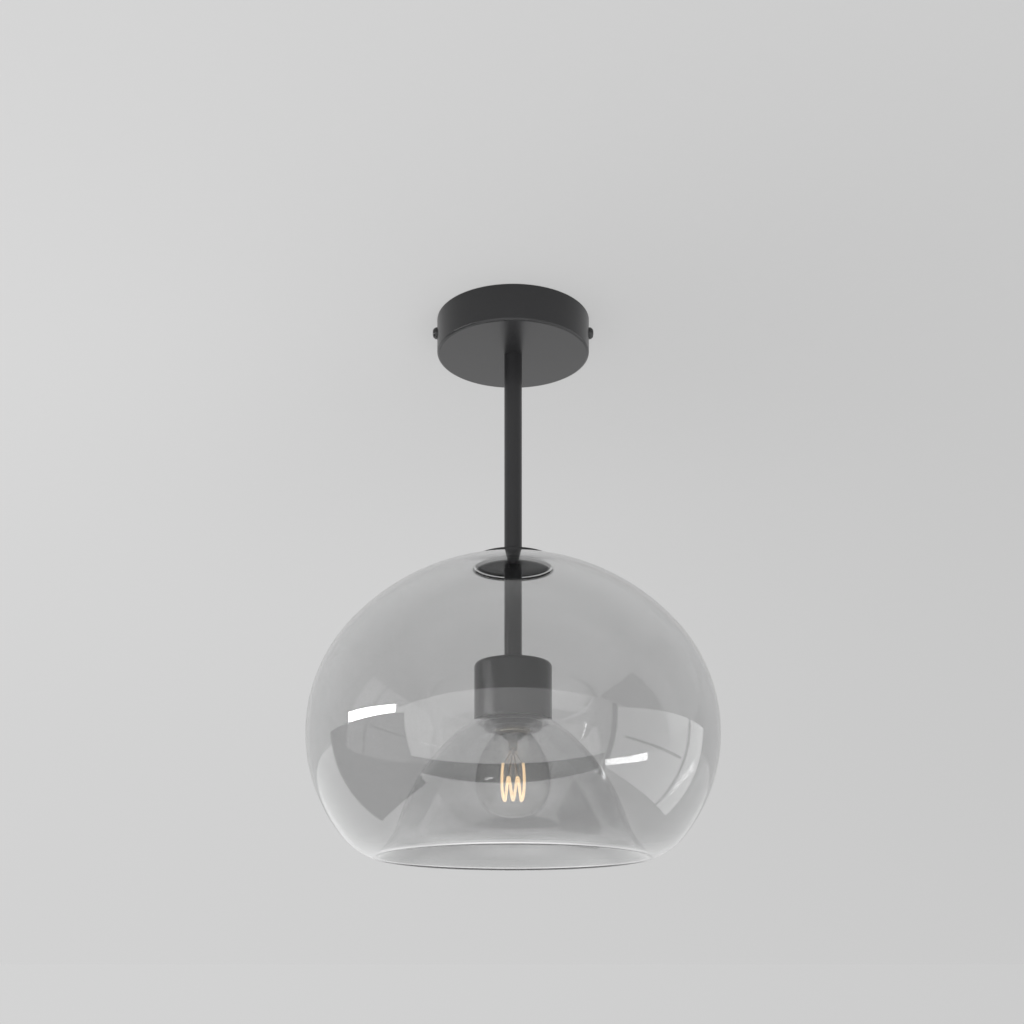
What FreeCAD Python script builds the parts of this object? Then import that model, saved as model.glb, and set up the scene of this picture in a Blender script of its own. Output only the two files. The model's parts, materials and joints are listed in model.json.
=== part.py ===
import FreeCAD, Part
import Sketcher
import math
import os

# A ceiling light on a short rigid rod.  The origin is the centre of the fixing
# slots in the plane of the ceiling, and the light hangs from it towards -Z.
# A "drop" is a distance below the ceiling.

SIZES = [
    # canopy: the shallow cup against the ceiling
    ("canopy_radius", 60.0), ("canopy_depth", 27.0), ("canopy_wall", 1.0),
    ("canopy_edge_round", 2.0), ("side_screw_drop", 9.0), ("side_hole_radius", 2.2),
    # strap that is screwed to the ceiling, with two ears for the side screws
    ("strap_half_length", 57.5), ("strap_width", 18.0), ("strap_thickness", 1.6),
    ("ear_drop", 15.0), ("earth_head_round", 1.0), ("slot_spacing", 80.0), ("slot_length", 14.0),
    ("slot_radius", 2.75),
    ("earth_screw_x", 14.0), ("block_screw_y", 5.0),
    # screws: M4 at the sides, M4 for the earth lug, M3 in the terminal block
    ("m4_radius", 2.0), ("m3_radius", 1.5), ("dome_head_radius", 4.4), ("dome_head_height", 3.6),
    ("dome_rim_height", 0.4),
    ("side_screw_length", 7.0), ("earth_head_radius", 3.5), ("earth_head_height", 2.4),
    ("block_head_radius", 2.4), ("block_head_height", 1.8), ("driver_slot_width", 0.9),
    ("driver_slot_depth", 1.0), ("clamp_screw_radius", 1.7), ("clamp_screw_length", 4.2),
    # terminal block under the strap
    ("block_x", -22.0), ("block_width", 16.0), ("block_length", 31.0), ("block_height", 13.0),
    ("pole_pitch", 10.0), ("pole_drop", 8.0), ("sleeve_radius", 2.5), ("sleeve_bore", 1.6),
    ("clamp_screw_offset", 4.0), ("sleeve_recess", 1.0), ("well_clearance", 0.3), ("block_head_round", 0.8),
    # ring lug under the earth screw
    ("lug_radius", 4.0), ("lug_thickness", 0.8), ("lug_tongue_length", 7.0), ("lug_tongue_width", 3.0),
    ("lug_overlap", 1.0),
    # rod, in two lengths, with hollow M10 nipples
    ("rod_radius", 7.0), ("nipple_radius", 5.0), ("nipple_bore", 4.0), ("nipple_grip", 9.0),
    ("nipple_clearance", 0.1), ("nipple_stand_out", 1.0), ("nipple_end_gap", 2.0),
    ("nut_across_flats", 14.0), ("nut_height", 4.0), ("washer_thickness", 0.8),
    ("washer_radius", 9.0), ("tooth_depth", 1.4), ("bushing_lip", 1.0), ("bushing_bore", 3.4),
    ("bushing_depth", 4.0),
    # disc that fills the hole in the top of the shade
    ("disc_radius", 30.5), ("disc_drop", 187.5), ("disc_thickness", 4.0), ("disc_chamfer", 0.4),
    # glass shade: a dome that folds under at the mouth and rises again as a bell
    ("glass_wall", 3.0), ("shade_radius", 163.0), ("shade_widest_drop", 330.0),
    ("top_hole_radius", 33.0), ("crown_radius", 176.0), ("equator_radius", 124.0),
    ("heel_radius", 48.0), ("heel_centre_radius", 97.0), ("lip_radius", 5.5),
    ("lip_centre_radius", 109.0), ("flare_radius", 44.0), ("bell_radius", 150.0),
    ("bell_centre_offset", 55.6), ("shoulder_radius", 21.0), ("neck_flat_radius", 22.0),
    ("neck_drop", 314.5), ("neck_hole_radius", 20.3), ("hole_edge_round", 1.2),
    # cup that covers the lampholder
    ("cover_radius", 30.75), ("cover_drop", 270.0), ("cover_bottom_drop", 315.4),
    ("cover_wall", 1.2), ("cover_round", 3.6),
    # E27 lampholder
    ("collar_radius", 8.0), ("collar_height", 5.0), ("cap_drop", 275.8), ("cap_shoulder_drop", 283.0),
    ("holder_radius", 19.8), ("holder_wall", 2.0), ("cap_bottom_drop", 297.0),
    ("flange_radius", 25.0), ("flange_drop", 311.3), ("flange_thickness", 2.2),
    ("gasket_thickness", 1.0), ("skirt_bottom_drop", 324.5), ("holder_ledge_radius", 15.4),
    ("insert_radius", 16.8), ("insert_drop", 292.0), ("insert_height", 6.0),
    ("contact_radius", 3.0), ("contact_height", 1.3), ("contact_bevel", 1.0), ("terminal_radius", 10.5),
    ("terminal_height", 3.0), ("terminal_width", 6.0), ("shell_bore_radius", 13.25),
    ("shell_wall", 0.45), ("shell_drop", 301.0), ("shell_bottom_drop", 323.0), ("bezel_recess", 1.0),
    ("ring_radius", 23.0), ("ring_bore_radius", 19.86), ("ring_height", 5.0), ("ring_chamfer", 0.8),
    # bulb with an E27 cap and a soft looped filament
    ("bulb_cap_radius", 13.18), ("bulb_cap_wall", 0.4), ("bulb_cap_drop", 305.0),
    ("bulb_cap_bottom_drop", 326.3), ("bulb_tip_drop", 299.7), ("solder_radius", 4.0),
    ("solder_height", 1.4), ("cap_shoulder_radius", 10.0), ("cap_shoulder_rise", 2.0),
    ("bulb_radius", 30.0), ("bulb_widest_drop", 366.0), ("bulb_flank_radius", 55.0),
    ("bulb_glass", 0.8), ("bulb_neck_radius", 13.17), ("stem_foot_radius", 9.0),
    ("stem_radius", 3.6), ("stem_tip_drop", 341.0), ("stem_foot_drop", 327.5),
    ("stem_foot_height", 1.0), ("stem_cone_height", 6.0), ("stem_tip_taper", 2.0),
    ("filament_ring_radius", 8.2), ("filament_radius", 0.95), ("filament_top_drop", 361.5),
    ("filament_bottom_drop", 380.6), ("filament_end_drop", 350.5), ("filament_step_angle", 30.0),
    ("lead_radius", 0.3), ("lead_gap", 0.4), ("lead_spread", 0.9),
    # single-core wires inside the rod
    ("wire_radius", 1.1), ("wire_offset", 1.6),
]

WASHER_TEETH = 12
FILAMENT_RUNS = 6

# two lengths closer than this are equal, and a cut that takes less than this
# volume has missed its piece
MATCH = 0.01
LEAST_CUT = 0.1
# how much of the shorter straight run a bend of a wire takes, and how far a
# swept tube's volume may be from its section times its length
BEND_SHARE = 0.45
VOLUME_SLACK = 0.03

doc = FreeCAD.newDocument("ceiling_light")
sheet = doc.addObject("Spreadsheet::Sheet", "Sizes")
for row, (alias, amount) in enumerate(SIZES, start=1):
    sheet.set("A%d" % row, alias)
    sheet.set("B%d" % row, str(amount))
    sheet.setAlias("B%d" % row, alias)
doc.recompute()

pieces = []


class Size:
    """A length as a formula of the sheet's sizes, with its present value."""

    def __init__(self, formula, value):
        self.formula = formula
        self.value = value

    def joined(self, sign, other, value):
        return Size("(%s %s %s)" % (self.formula, sign, as_size(other).formula), value)

    def __add__(self, other):
        return self.joined("+", other, self.value + as_size(other).value)

    def __sub__(self, other):
        return self.joined("-", other, self.value - as_size(other).value)

    def __mul__(self, other):
        return self.joined("*", other, self.value * as_size(other).value)

    def __truediv__(self, other):
        return self.joined("/", other, self.value / as_size(other).value)

    def __neg__(self):
        return Size("(0 - %s)" % self.formula, -self.value)


def as_size(amount):
    if isinstance(amount, Size):
        return amount
    return Size(repr(float(amount)), float(amount))


def size(alias):
    return Size("Sizes." + alias, float(sheet.get(alias)))


AXIS = as_size(0.0)
CEILING = as_size(0.0)


def bind(target, name, amount):
    target.setExpression(name, as_size(amount).formula)


def move(target, x=AXIS, y=AXIS, drop=CEILING):
    """Place an object at x and y, and at a drop below the ceiling."""
    bind(target, ".Placement.Base.x", x)
    bind(target, ".Placement.Base.y", y)
    bind(target, ".Placement.Base.z", -as_size(drop))


def keep(target, label):
    """Name a finished piece; its label becomes its file's name."""
    target.Label = label
    pieces.append(target)
    return target


# ---------------------------------------------------------------- sketches

def new_body(name):
    return doc.addObject("PartDesign::Body", name)


def new_sketch(body, name, role, drop=None):
    drawing = body.newObject("Sketcher::SketchObject", name)
    plane = [item for item in body.Origin.OriginFeatures if item.Role == role][0]
    drawing.AttachmentSupport = [(plane, "")]
    drawing.MapMode = "FlatFace"
    if drop is not None:
        bind(drawing, ".AttachmentOffset.Base.z", -as_size(drop))
    return drawing


def constrain(drawing, kind, *where, amount=None):
    """Add a constraint, and bind it to the sheet when it has an amount."""
    if amount is None:
        return drawing.addConstraint(Sketcher.Constraint(kind, *where))
    number = drawing.addConstraint(Sketcher.Constraint(kind, *where, amount.value))
    drawing.setExpression("Constraints[%d]" % number, amount.formula)
    return number


def outline(drawing, corners):
    """A closed outline of straight edges.  Corners are pairs of sizes: the
    distance from the vertical axis, and the drop below the ceiling."""
    spots = [FreeCAD.Vector(across.value, -along.value, 0) for across, along in corners]
    edges = []
    for here, there in zip(spots, spots[1:] + spots[:1]):
        edges.append(drawing.addGeometry(Part.LineSegment(here, there), False))
    for edge, following in zip(edges, edges[1:] + edges[:1]):
        constrain(drawing, "Coincident", edge, 2, following, 1)
    for number, (across, along) in enumerate(corners):
        before = corners[number - 1] if number else (None, None)
        edge = edges[number]
        if across.value == 0.0:
            constrain(drawing, "PointOnObject", edge, 1, -2)
        elif number and before[0].formula == across.formula:
            constrain(drawing, "Vertical", edges[number - 1])
        else:
            constrain(drawing, "DistanceX", -1, 1, edge, 1, amount=across)
        if along.value == 0.0:
            constrain(drawing, "PointOnObject", edge, 1, -1)
        elif number and before[1].formula == along.formula:
            constrain(drawing, "Horizontal", edges[number - 1])
        else:
            constrain(drawing, "DistanceY", edge, 1, -1, 1, amount=along)


def turn(body, drawing):
    """Revolve a sketch a full turn about the vertical axis."""
    turned = body.newObject("PartDesign::Revolution", body.Name + "_turned")
    turned.Profile = drawing
    turned.ReferenceAxis = (drawing, ["V_Axis"])
    turned.Angle = 360
    doc.recompute()
    return turned


def circular_edges(feature, radius, drop):
    """Names of a feature's round edges of one radius at one drop."""
    found = []
    for number, edge in enumerate(feature.Shape.Edges, start=1):
        curve = edge.Curve
        if not hasattr(curve, "Radius") or not hasattr(curve, "Center"):
            continue
        if abs(curve.Radius - radius.value) < MATCH and abs(curve.Center.z + drop.value) < MATCH:
            found.append("Edge%d" % number)
    if not found:
        raise ValueError("no edge at radius %.2f, drop %.2f" % (radius.value, drop.value))
    return found


def soften(body, feature, rims, amount, kind="Fillet"):
    """Round or chamfer the circular edges given as (radius, drop) pairs."""
    names = []
    for radius, drop in rims:
        names += circular_edges(feature, radius, drop)
    dressed = body.newObject("PartDesign::" + kind, body.Name + "_" + kind.lower() + "_%d" % len(body.Group))
    dressed.Base = (feature, names)
    bind(dressed, "Radius" if kind == "Fillet" else "Size", amount)
    doc.recompute()
    return dressed


def turned_piece(label, corners):
    body = new_body(label)
    drawing = new_sketch(body, label + "_profile", "XZ_Plane")
    outline(drawing, corners)
    feature = turn(body, drawing)
    keep(body, label)
    return body, feature


def ring_piece(label, inner, outer, top, bottom):
    """A plain ring or tube between two drops."""
    return turned_piece(label, [(inner, bottom), (outer, bottom), (outer, top), (inner, top)])


def circle_cut(body, name, role, across, along, radius):
    """Cut a round hole all the way through a body."""
    drawing = new_sketch(body, name, role)
    centre = FreeCAD.Vector(across.value, along.value, 0)
    ring = drawing.addGeometry(Part.Circle(centre, FreeCAD.Vector(0, 0, 1), radius.value), False)
    constrain(drawing, "Radius", ring, amount=radius)
    if across.value == 0.0:
        constrain(drawing, "PointOnObject", ring, 3, -2)
    else:
        constrain(drawing, "DistanceX", -1, 1, ring, 3, amount=across)
    if along.value == 0.0:
        constrain(drawing, "PointOnObject", ring, 3, -1)
    elif along.value < 0:
        constrain(drawing, "DistanceY", ring, 3, -1, 1, amount=-along)
    else:
        constrain(drawing, "DistanceY", -1, 1, ring, 3, amount=along)
    through_cut(body, drawing, name)


def through_cut(body, drawing, name):
    """Cut a sketch through a body on both sides of its plane."""
    before = body.Shape.Volume
    cut = body.newObject("PartDesign::Pocket", name + "_cut")
    cut.Profile = drawing
    cut.Type = "ThroughAll"
    cut.Midplane = True
    doc.recompute()
    if body.Shape.Volume > before - LEAST_CUT:
        raise ValueError(name + " cuts nothing")
    return cut


# ---------------------------------------------------------------- solids

def cylinder(name, radius, height, x=AXIS, y=AXIS, drop=CEILING, along=None):
    """A cylinder that rises from its drop, or lies along a direction."""
    rod = doc.addObject("Part::Cylinder", name)
    bind(rod, "Radius", radius)
    bind(rod, "Height", height)
    if along is not None:
        rod.Placement.Rotation = FreeCAD.Rotation(FreeCAD.Vector(0, 0, 1), FreeCAD.Vector(*along))
    move(rod, x, y, drop)
    return rod


def block(name, length, width, height, x, y, drop):
    """A box centred on x and y, hanging down to its drop."""
    box = doc.addObject("Part::Box", name)
    for side, amount in (("Length", length), ("Width", width), ("Height", height)):
        bind(box, side, amount)
    move(box, as_size(x) - as_size(length) / 2, as_size(y) - as_size(width) / 2, drop)
    return box


def joined(name, members):
    union = doc.addObject("Part::MultiFuse", name)
    union.Shapes = members
    return union


def without(name, solid, tools):
    cut = doc.addObject("Part::Cut", name)
    cut.Base = solid
    cut.Tool = tools[0] if len(tools) == 1 else joined(name + "_tools", tools)
    return cut


def group(label, members):
    """Equal fasteners that share one node, each a separate solid."""
    bundle = doc.addObject("Part::Compound", label)
    bundle.Links = members
    return keep(bundle, label)


def screw(name, head_radius, head_height, shank_radius, shank_length, rounding):
    """A slotted screw whose head stands on z = 0 and whose shank points to +Z."""
    head = cylinder(name + "_head", head_radius, head_height, drop=head_height)
    shank = cylinder(name + "_shank", shank_radius, shank_length)
    whole = joined(name + "_whole", [head, shank])
    doc.recompute()
    dome = doc.addObject("Part::Fillet", name + "_dome")
    dome.Base = whole
    outer = [number for number, edge in enumerate(whole.Shape.Edges, start=1)
             if hasattr(edge.Curve, "Radius") and abs(edge.Curve.Radius - head_radius.value) < MATCH
             and abs(edge.Curve.Center.z + head_height.value) < MATCH]
    dome.Edges = [(number, rounding, rounding) for number in outer]
    slot = block(name + "_slot", head_radius * 3, size("driver_slot_width"), size("driver_slot_depth"),
                 AXIS, AXIS, head_height)
    return without(name, dome, [slot])


def hexagon_nut(label, bore, drop, height):
    body = new_body(label)
    drawing = new_sketch(body, label + "_profile", "XY_Plane", drop)
    flats = size("nut_across_flats")
    corner_radius = flats.value / math.sqrt(3)
    corners = [FreeCAD.Vector(corner_radius * math.cos(math.radians(60 * side)),
                              corner_radius * math.sin(math.radians(60 * side)), 0) for side in range(6)]
    edges = [drawing.addGeometry(Part.LineSegment(here, there), False)
             for here, there in zip(corners, corners[1:] + corners[:1])]
    guide = drawing.addGeometry(Part.Circle(FreeCAD.Vector(), FreeCAD.Vector(0, 0, 1), corner_radius), True)
    constrain(drawing, "Coincident", guide, 3, -1, 1)
    for edge, following in zip(edges, edges[1:] + edges[:1]):
        constrain(drawing, "Coincident", edge, 2, following, 1)
        constrain(drawing, "PointOnObject", edge, 1, guide)
    for edge in edges[1:]:
        constrain(drawing, "Equal", edges[0], edge)
    constrain(drawing, "Horizontal", edges[1])
    constrain(drawing, "DistanceY", edges[4], 1, edges[1], 1, amount=flats)
    hole = drawing.addGeometry(Part.Circle(FreeCAD.Vector(), FreeCAD.Vector(0, 0, 1), bore.value), False)
    constrain(drawing, "Coincident", hole, 3, -1, 1)
    constrain(drawing, "Radius", hole, amount=bore)
    raised = body.newObject("PartDesign::Pad", label + "_pad")
    raised.Profile = drawing
    bind(raised, "Length", height)
    return keep(body, label)


def toothed_washer(label, bottom):
    """A flat ring with short teeth cut into its rim."""
    thickness = size("washer_thickness")
    body = ring_piece(label, size("nipple_radius"), size("washer_radius"), bottom - thickness, bottom)[0]
    drawing = new_sketch(body, label + "_gap", "XY_Plane")
    reach = size("washer_radius") + size("tooth_depth")
    depth = size("washer_radius") - size("tooth_depth")
    half = size("tooth_depth") / 2
    spots = [(depth, -half), (reach, -half), (reach, half), (depth, half)]
    places = [FreeCAD.Vector(across.value, along.value, 0) for across, along in spots]
    edges = [drawing.addGeometry(Part.LineSegment(here, there), False)
             for here, there in zip(places, places[1:] + places[:1])]
    for edge, following in zip(edges, edges[1:] + edges[:1]):
        constrain(drawing, "Coincident", edge, 2, following, 1)
    for edge, kind in zip(edges, ("Horizontal", "Vertical", "Horizontal", "Vertical")):
        constrain(drawing, kind, edge)
    constrain(drawing, "DistanceX", -1, 1, edges[0], 1, amount=depth)
    constrain(drawing, "DistanceX", -1, 1, edges[0], 2, amount=reach)
    constrain(drawing, "DistanceY", edges[0], 1, -1, 1, amount=half)
    constrain(drawing, "DistanceY", -1, 1, edges[2], 1, amount=half)
    gap = through_cut(body, drawing, label + "_gap")
    teeth = body.newObject("PartDesign::PolarPattern", label + "_teeth")
    teeth.Originals = [gap]
    teeth.Axis = (drawing, ["N_Axis"])
    teeth.Angle = 360
    teeth.Occurrences = WASHER_TEETH
    body.Tip = teeth
    doc.recompute()
    return body


# ---------------------------------------------------------------- routes

def rounded_route(points):
    """Straight runs joined by tangent arcs, each as large as its runs allow."""
    corners = [FreeCAD.Vector(*point) for point in points]
    edges = []
    start = corners[0]
    for before, here, after in zip(corners, corners[1:], corners[2:]):
        incoming = here - before
        outgoing = after - here
        bend = incoming.getAngle(outgoing)
        shorter = min(incoming.Length, outgoing.Length)
        radius = BEND_SHARE * shorter / math.tan(bend / 2)
        setback = radius * math.tan(bend / 2)
        entry = here - incoming.normalize() * setback
        leave = here + outgoing.normalize() * setback
        inward = (entry + leave) * 0.5 - here
        middle = here + inward.normalize() * (radius / math.cos(bend / 2) - radius)
        edges.append(Part.LineSegment(start, entry).toShape())
        edges.append(Part.Arc(entry, middle, leave).toShape())
        start = leave
    edges.append(Part.LineSegment(start, corners[-1]).toShape())
    return Part.Wire(edges)


def round_tube(route, radius):
    """A round wire of one radius swept along a route."""
    first = route.Edges[0]
    begin = first.valueAt(first.FirstParameter)
    heading = first.tangentAt(first.FirstParameter)
    section = Part.Wire([Part.makeCircle(radius, begin, heading)])
    solid = Part.Solid(route.makePipeShell([section], True, False))
    expected = math.pi * radius ** 2 * route.Length
    if abs(abs(solid.Volume) - expected) > VOLUME_SLACK * expected:
        raise ValueError("tube volume %.1f, expected %.1f" % (solid.Volume, expected))
    if solid.Volume < 0:
        solid.reverse()
    return solid


def shaped(label, shape):
    feature = doc.addObject("Part::Feature", label)
    feature.Shape = shape
    feature.Placement = FreeCAD.Placement()
    return keep(feature, label)


# ---------------------------------------------------------------- arcs

def place_on(centre, radius, angle):
    return FreeCAD.Vector(centre[0] + radius * math.cos(angle), centre[1] + radius * math.sin(angle), 0)


def add_arc(drawing, centre, radius, enter, leave):
    """Add an arc run from one angle to another, and give its number with the
    positions of the end it is entered by and the end it is left by."""
    low, high = min(enter, leave), max(enter, leave)
    circle = Part.Circle(FreeCAD.Vector(centre[0], centre[1], 0), FreeCAD.Vector(0, 0, 1), radius)
    number = drawing.addGeometry(Part.ArcOfCircle(circle, low, high), False)
    return (number, 1, 2) if enter < leave else (number, 2, 1)


def chain_of_arcs(drawing, arcs):
    """Arcs that follow each other and are tangent where they meet."""
    chain = [add_arc(drawing, *arc) for arc in arcs]
    for (arc, _, leave), (following, enter, _) in zip(chain, chain[1:]):
        constrain(drawing, "Tangent", arc, leave, following, enter)
    return chain


def walled_outline(drawing, skin_arcs, lining_arcs, lining_radius):
    """Two chains on shared centres, closed by a line at each end, so that the
    wall between them is even.  One radius of the lining sets its thickness."""
    skin = chain_of_arcs(drawing, skin_arcs)
    lining = chain_of_arcs(drawing, lining_arcs)
    for outside, inside in zip(skin, lining):
        constrain(drawing, "Coincident", outside[0], 3, inside[0], 3)
    constrain(drawing, "Radius", lining[0][0], amount=lining_radius)
    first_skin = place_on(skin_arcs[0][0], skin_arcs[0][1], skin_arcs[0][2])
    first_lining = place_on(lining_arcs[0][0], lining_arcs[0][1], lining_arcs[0][2])
    last_skin = place_on(skin_arcs[-1][0], skin_arcs[-1][1], skin_arcs[-1][3])
    last_lining = place_on(lining_arcs[-1][0], lining_arcs[-1][1], lining_arcs[-1][3])
    opening = drawing.addGeometry(Part.LineSegment(first_lining, first_skin), False)
    constrain(drawing, "Coincident", opening, 1, lining[0][0], lining[0][1])
    constrain(drawing, "Coincident", opening, 2, skin[0][0], skin[0][1])
    return skin, lining, opening, last_skin, last_lining


# ---------------------------------------------------------------- at the ceiling

def make_strap():
    body = new_body("ceiling_strap")
    drawing = new_sketch(body, "strap_profile", "XZ_Plane")
    half = size("strap_half_length")
    thick = size("strap_thickness")
    ear = size("ear_drop")
    outline(drawing, [(-half, CEILING), (half, CEILING), (half, ear), (half - thick, ear),
                      (half - thick, thick), (thick - half, thick), (thick - half, ear), (-half, ear)])
    bent = body.newObject("PartDesign::Pad", "strap_pad")
    bent.Profile = drawing
    bent.Midplane = True
    bind(bent, "Length", size("strap_width"))
    doc.recompute()
    bend_edges = ["Edge%d" % number for number, edge in enumerate(bent.Shape.Edges, start=1)
                  if abs(edge.Vertexes[0].Z) < MATCH and abs(edge.Vertexes[-1].Z) < MATCH
                  and abs(edge.Vertexes[0].X - edge.Vertexes[-1].X) < MATCH]
    bend = body.newObject("PartDesign::Fillet", "strap_bends")
    bend.Base = (bent, bend_edges)
    bind(bend, "Radius", thick)
    doc.recompute()
    slots = new_sketch(body, "strap_slots", "XY_Plane")
    for side in (-1, 1):
        slot_outline(slots, size("slot_spacing") / 2, side)
    through_cut(body, slots, "strap_slots")
    circle_cut(body, "ear_holes", "YZ_Plane", AXIS, -size("side_screw_drop"), size("m4_radius"))
    circle_cut(body, "earth_hole", "XY_Plane", size("earth_screw_x"), AXIS, size("m4_radius"))
    shift = new_sketch(body, "block_screw_hole", "XY_Plane")
    spot = FreeCAD.Vector(size("block_x").value, size("block_screw_y").value, 0)
    ring = shift.addGeometry(Part.Circle(spot, FreeCAD.Vector(0, 0, 1), size("m3_radius").value), False)
    constrain(shift, "Radius", ring, amount=size("m3_radius"))
    constrain(shift, "DistanceX", ring, 3, -1, 1, amount=-size("block_x"))
    constrain(shift, "DistanceY", -1, 1, ring, 3, amount=size("block_screw_y"))
    through_cut(body, shift, "block_screw_hole")
    keep(body, "ceiling_strap")


def slot_outline(drawing, distance, side):
    """A slot that runs along X, centred at a distance to one side."""
    radius = size("slot_radius").value
    reach = size("slot_length").value / 2 - radius
    middle = side * distance.value
    up = FreeCAD.Vector(0, 0, 1)
    left = Part.ArcOfCircle(Part.Circle(FreeCAD.Vector(middle - reach, 0, 0), up, radius),
                            math.pi / 2, 3 * math.pi / 2)
    right = Part.ArcOfCircle(Part.Circle(FreeCAD.Vector(middle + reach, 0, 0), up, radius),
                             -math.pi / 2, math.pi / 2)
    top = Part.LineSegment(FreeCAD.Vector(middle + reach, radius, 0),
                           FreeCAD.Vector(middle - reach, radius, 0))
    base = Part.LineSegment(FreeCAD.Vector(middle - reach, -radius, 0),
                            FreeCAD.Vector(middle + reach, -radius, 0))
    first, over, second, under = [drawing.addGeometry(item, False) for item in (left, top, right, base)]
    for end, start in (((over, 2), (first, 1)), ((first, 2), (under, 1)),
                       ((under, 2), (second, 1)), ((second, 2), (over, 1))):
        constrain(drawing, "Tangent", *end, *start)
    constrain(drawing, "PointOnObject", first, 3, -1)
    constrain(drawing, "PointOnObject", second, 3, -1)
    constrain(drawing, "Radius", first, amount=size("slot_radius"))
    half = size("slot_length") / 2 - size("slot_radius")
    near, far = (first, second) if side > 0 else (second, first)
    if side > 0:
        constrain(drawing, "DistanceX", -1, 1, near, 3, amount=distance - half)
        constrain(drawing, "DistanceX", -1, 1, far, 3, amount=distance + half)
    else:
        constrain(drawing, "DistanceX", near, 3, -1, 1, amount=distance - half)
        constrain(drawing, "DistanceX", far, 3, -1, 1, amount=distance + half)


def make_canopy():
    wall = size("canopy_wall")
    outer = size("canopy_radius")
    depth = size("canopy_depth")
    bore = size("nipple_radius") + size("nipple_clearance")
    inner = outer - wall
    body, cup = turned_piece("canopy", [(bore, depth), (outer, depth), (outer, CEILING), (inner, CEILING),
                                        (inner, depth - wall), (bore, depth - wall)])
    rounded = soften(body, cup, [(outer, depth)], size("canopy_edge_round"))
    soften(body, rounded, [(inner, depth - wall)], size("canopy_edge_round") - wall)
    circle_cut(body, "side_holes", "YZ_Plane", AXIS, -size("side_screw_drop"), size("side_hole_radius"))


def make_side_screw(label, side):
    piece = screw(label, size("dome_head_radius"), size("dome_head_height"), size("m4_radius"),
                  size("side_screw_length"), (size("dome_head_height") - size("dome_rim_height")).value)
    piece.Placement.Rotation = FreeCAD.Rotation(FreeCAD.Vector(0, 0, 1), FreeCAD.Vector(-side, 0, 0))
    move(piece, size("canopy_radius") * side, AXIS, size("side_screw_drop"))
    keep(piece, label)


def make_terminal_block():
    centre = size("block_x")
    bottom = size("strap_thickness") + size("block_height")
    housing = block("block_housing", size("block_width"), size("block_length"), size("block_height"),
                    centre, AXIS, bottom)
    well_radius = size("clamp_screw_radius") + size("well_clearance")
    bores, wells, sleeves, clamps = [], [], [], []
    for pole in (-1, 0, 1):
        across = size("pole_pitch") * pole
        mark = "_%d" % (pole + 2)
        start = centre - size("block_width") / 2
        bores.append(cylinder("pole_bore" + mark, size("sleeve_radius"), size("block_width"),
                              start, across, size("pole_drop"), (1, 0, 0)))
        recess = size("sleeve_recess")
        sleeve = cylinder("sleeve_rod" + mark, size("sleeve_radius"), size("block_width") - recess * 2,
                          start + recess, across, size("pole_drop"), (1, 0, 0))
        way = cylinder("sleeve_way" + mark, size("sleeve_bore"), size("block_width"),
                       start, across, size("pole_drop"), (1, 0, 0))
        holes = [way]
        for side in (-1, 1):
            spot = centre + size("clamp_screw_offset") * side
            name = mark + ("_in" if side > 0 else "_out")
            holes.append(cylinder("sleeve_hole" + name, size("clamp_screw_radius"), size("sleeve_radius"),
                                  spot, across, size("pole_drop") + size("sleeve_radius")))
            wells.append(cylinder("well" + name, well_radius, bottom - size("pole_drop"), spot, across, bottom))
            clamps.append(make_clamp_screw("clamp_screw" + name, spot, across))
        sleeves.append(without("sleeve" + mark, sleeve, holes))
    hole = cylinder("block_hole", size("m3_radius"), size("block_height"), centre, size("block_screw_y"),
                    bottom)
    keep(without("terminal_block", housing, bores + wells + [hole]), "terminal_block")
    group("terminal_sleeves", sleeves)
    group("terminal_clamp_screws", clamps)
    fixing = screw("terminal_block_screw", size("block_head_radius"), size("block_head_height"),
                   size("m3_radius"), size("block_height") + size("strap_thickness"),
                   size("block_head_round").value)
    move(fixing, centre, size("block_screw_y"), bottom)
    keep(fixing, "terminal_block_screw")


def make_clamp_screw(name, x, y):
    """A headless screw that closes on the wire inside its sleeve."""
    foot = size("pole_drop") + size("sleeve_bore") + size("clamp_screw_length")
    rod = cylinder(name + "_rod", size("clamp_screw_radius"), size("clamp_screw_length"), x, y, foot)
    slot = block(name + "_slot", size("clamp_screw_radius") * 3, size("driver_slot_width"),
                 size("driver_slot_depth"), x, y, foot)
    return without(name, rod, [slot])


def make_earth_point():
    spot = size("earth_screw_x")
    top = size("strap_thickness")
    base = top + size("lug_thickness")
    ring = cylinder("lug_ring", size("lug_radius"), size("lug_thickness"), spot, AXIS, base)
    tongue = block("lug_tongue", size("lug_tongue_width"), size("lug_tongue_length"), size("lug_thickness"),
                   spot, size("lug_radius") + size("lug_tongue_length") / 2 - size("lug_overlap"), base)
    hole = cylinder("lug_hole", size("m4_radius"), size("lug_thickness"), spot, AXIS, base)
    keep(without("earth_lug", joined("lug_blank", [ring, tongue]), [hole]), "earth_lug")
    piece = screw("earth_screw", size("earth_head_radius"), size("earth_head_height"), size("m4_radius"),
                  size("lug_thickness") + size("strap_thickness"), size("earth_head_round").value)
    move(piece, spot, AXIS, base)
    keep(piece, "earth_screw")


# ---------------------------------------------------------------- rod

def make_nipple(label, top, bottom):
    ring_piece(label, size("nipple_bore"), size("nipple_radius"), top, bottom)


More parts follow.
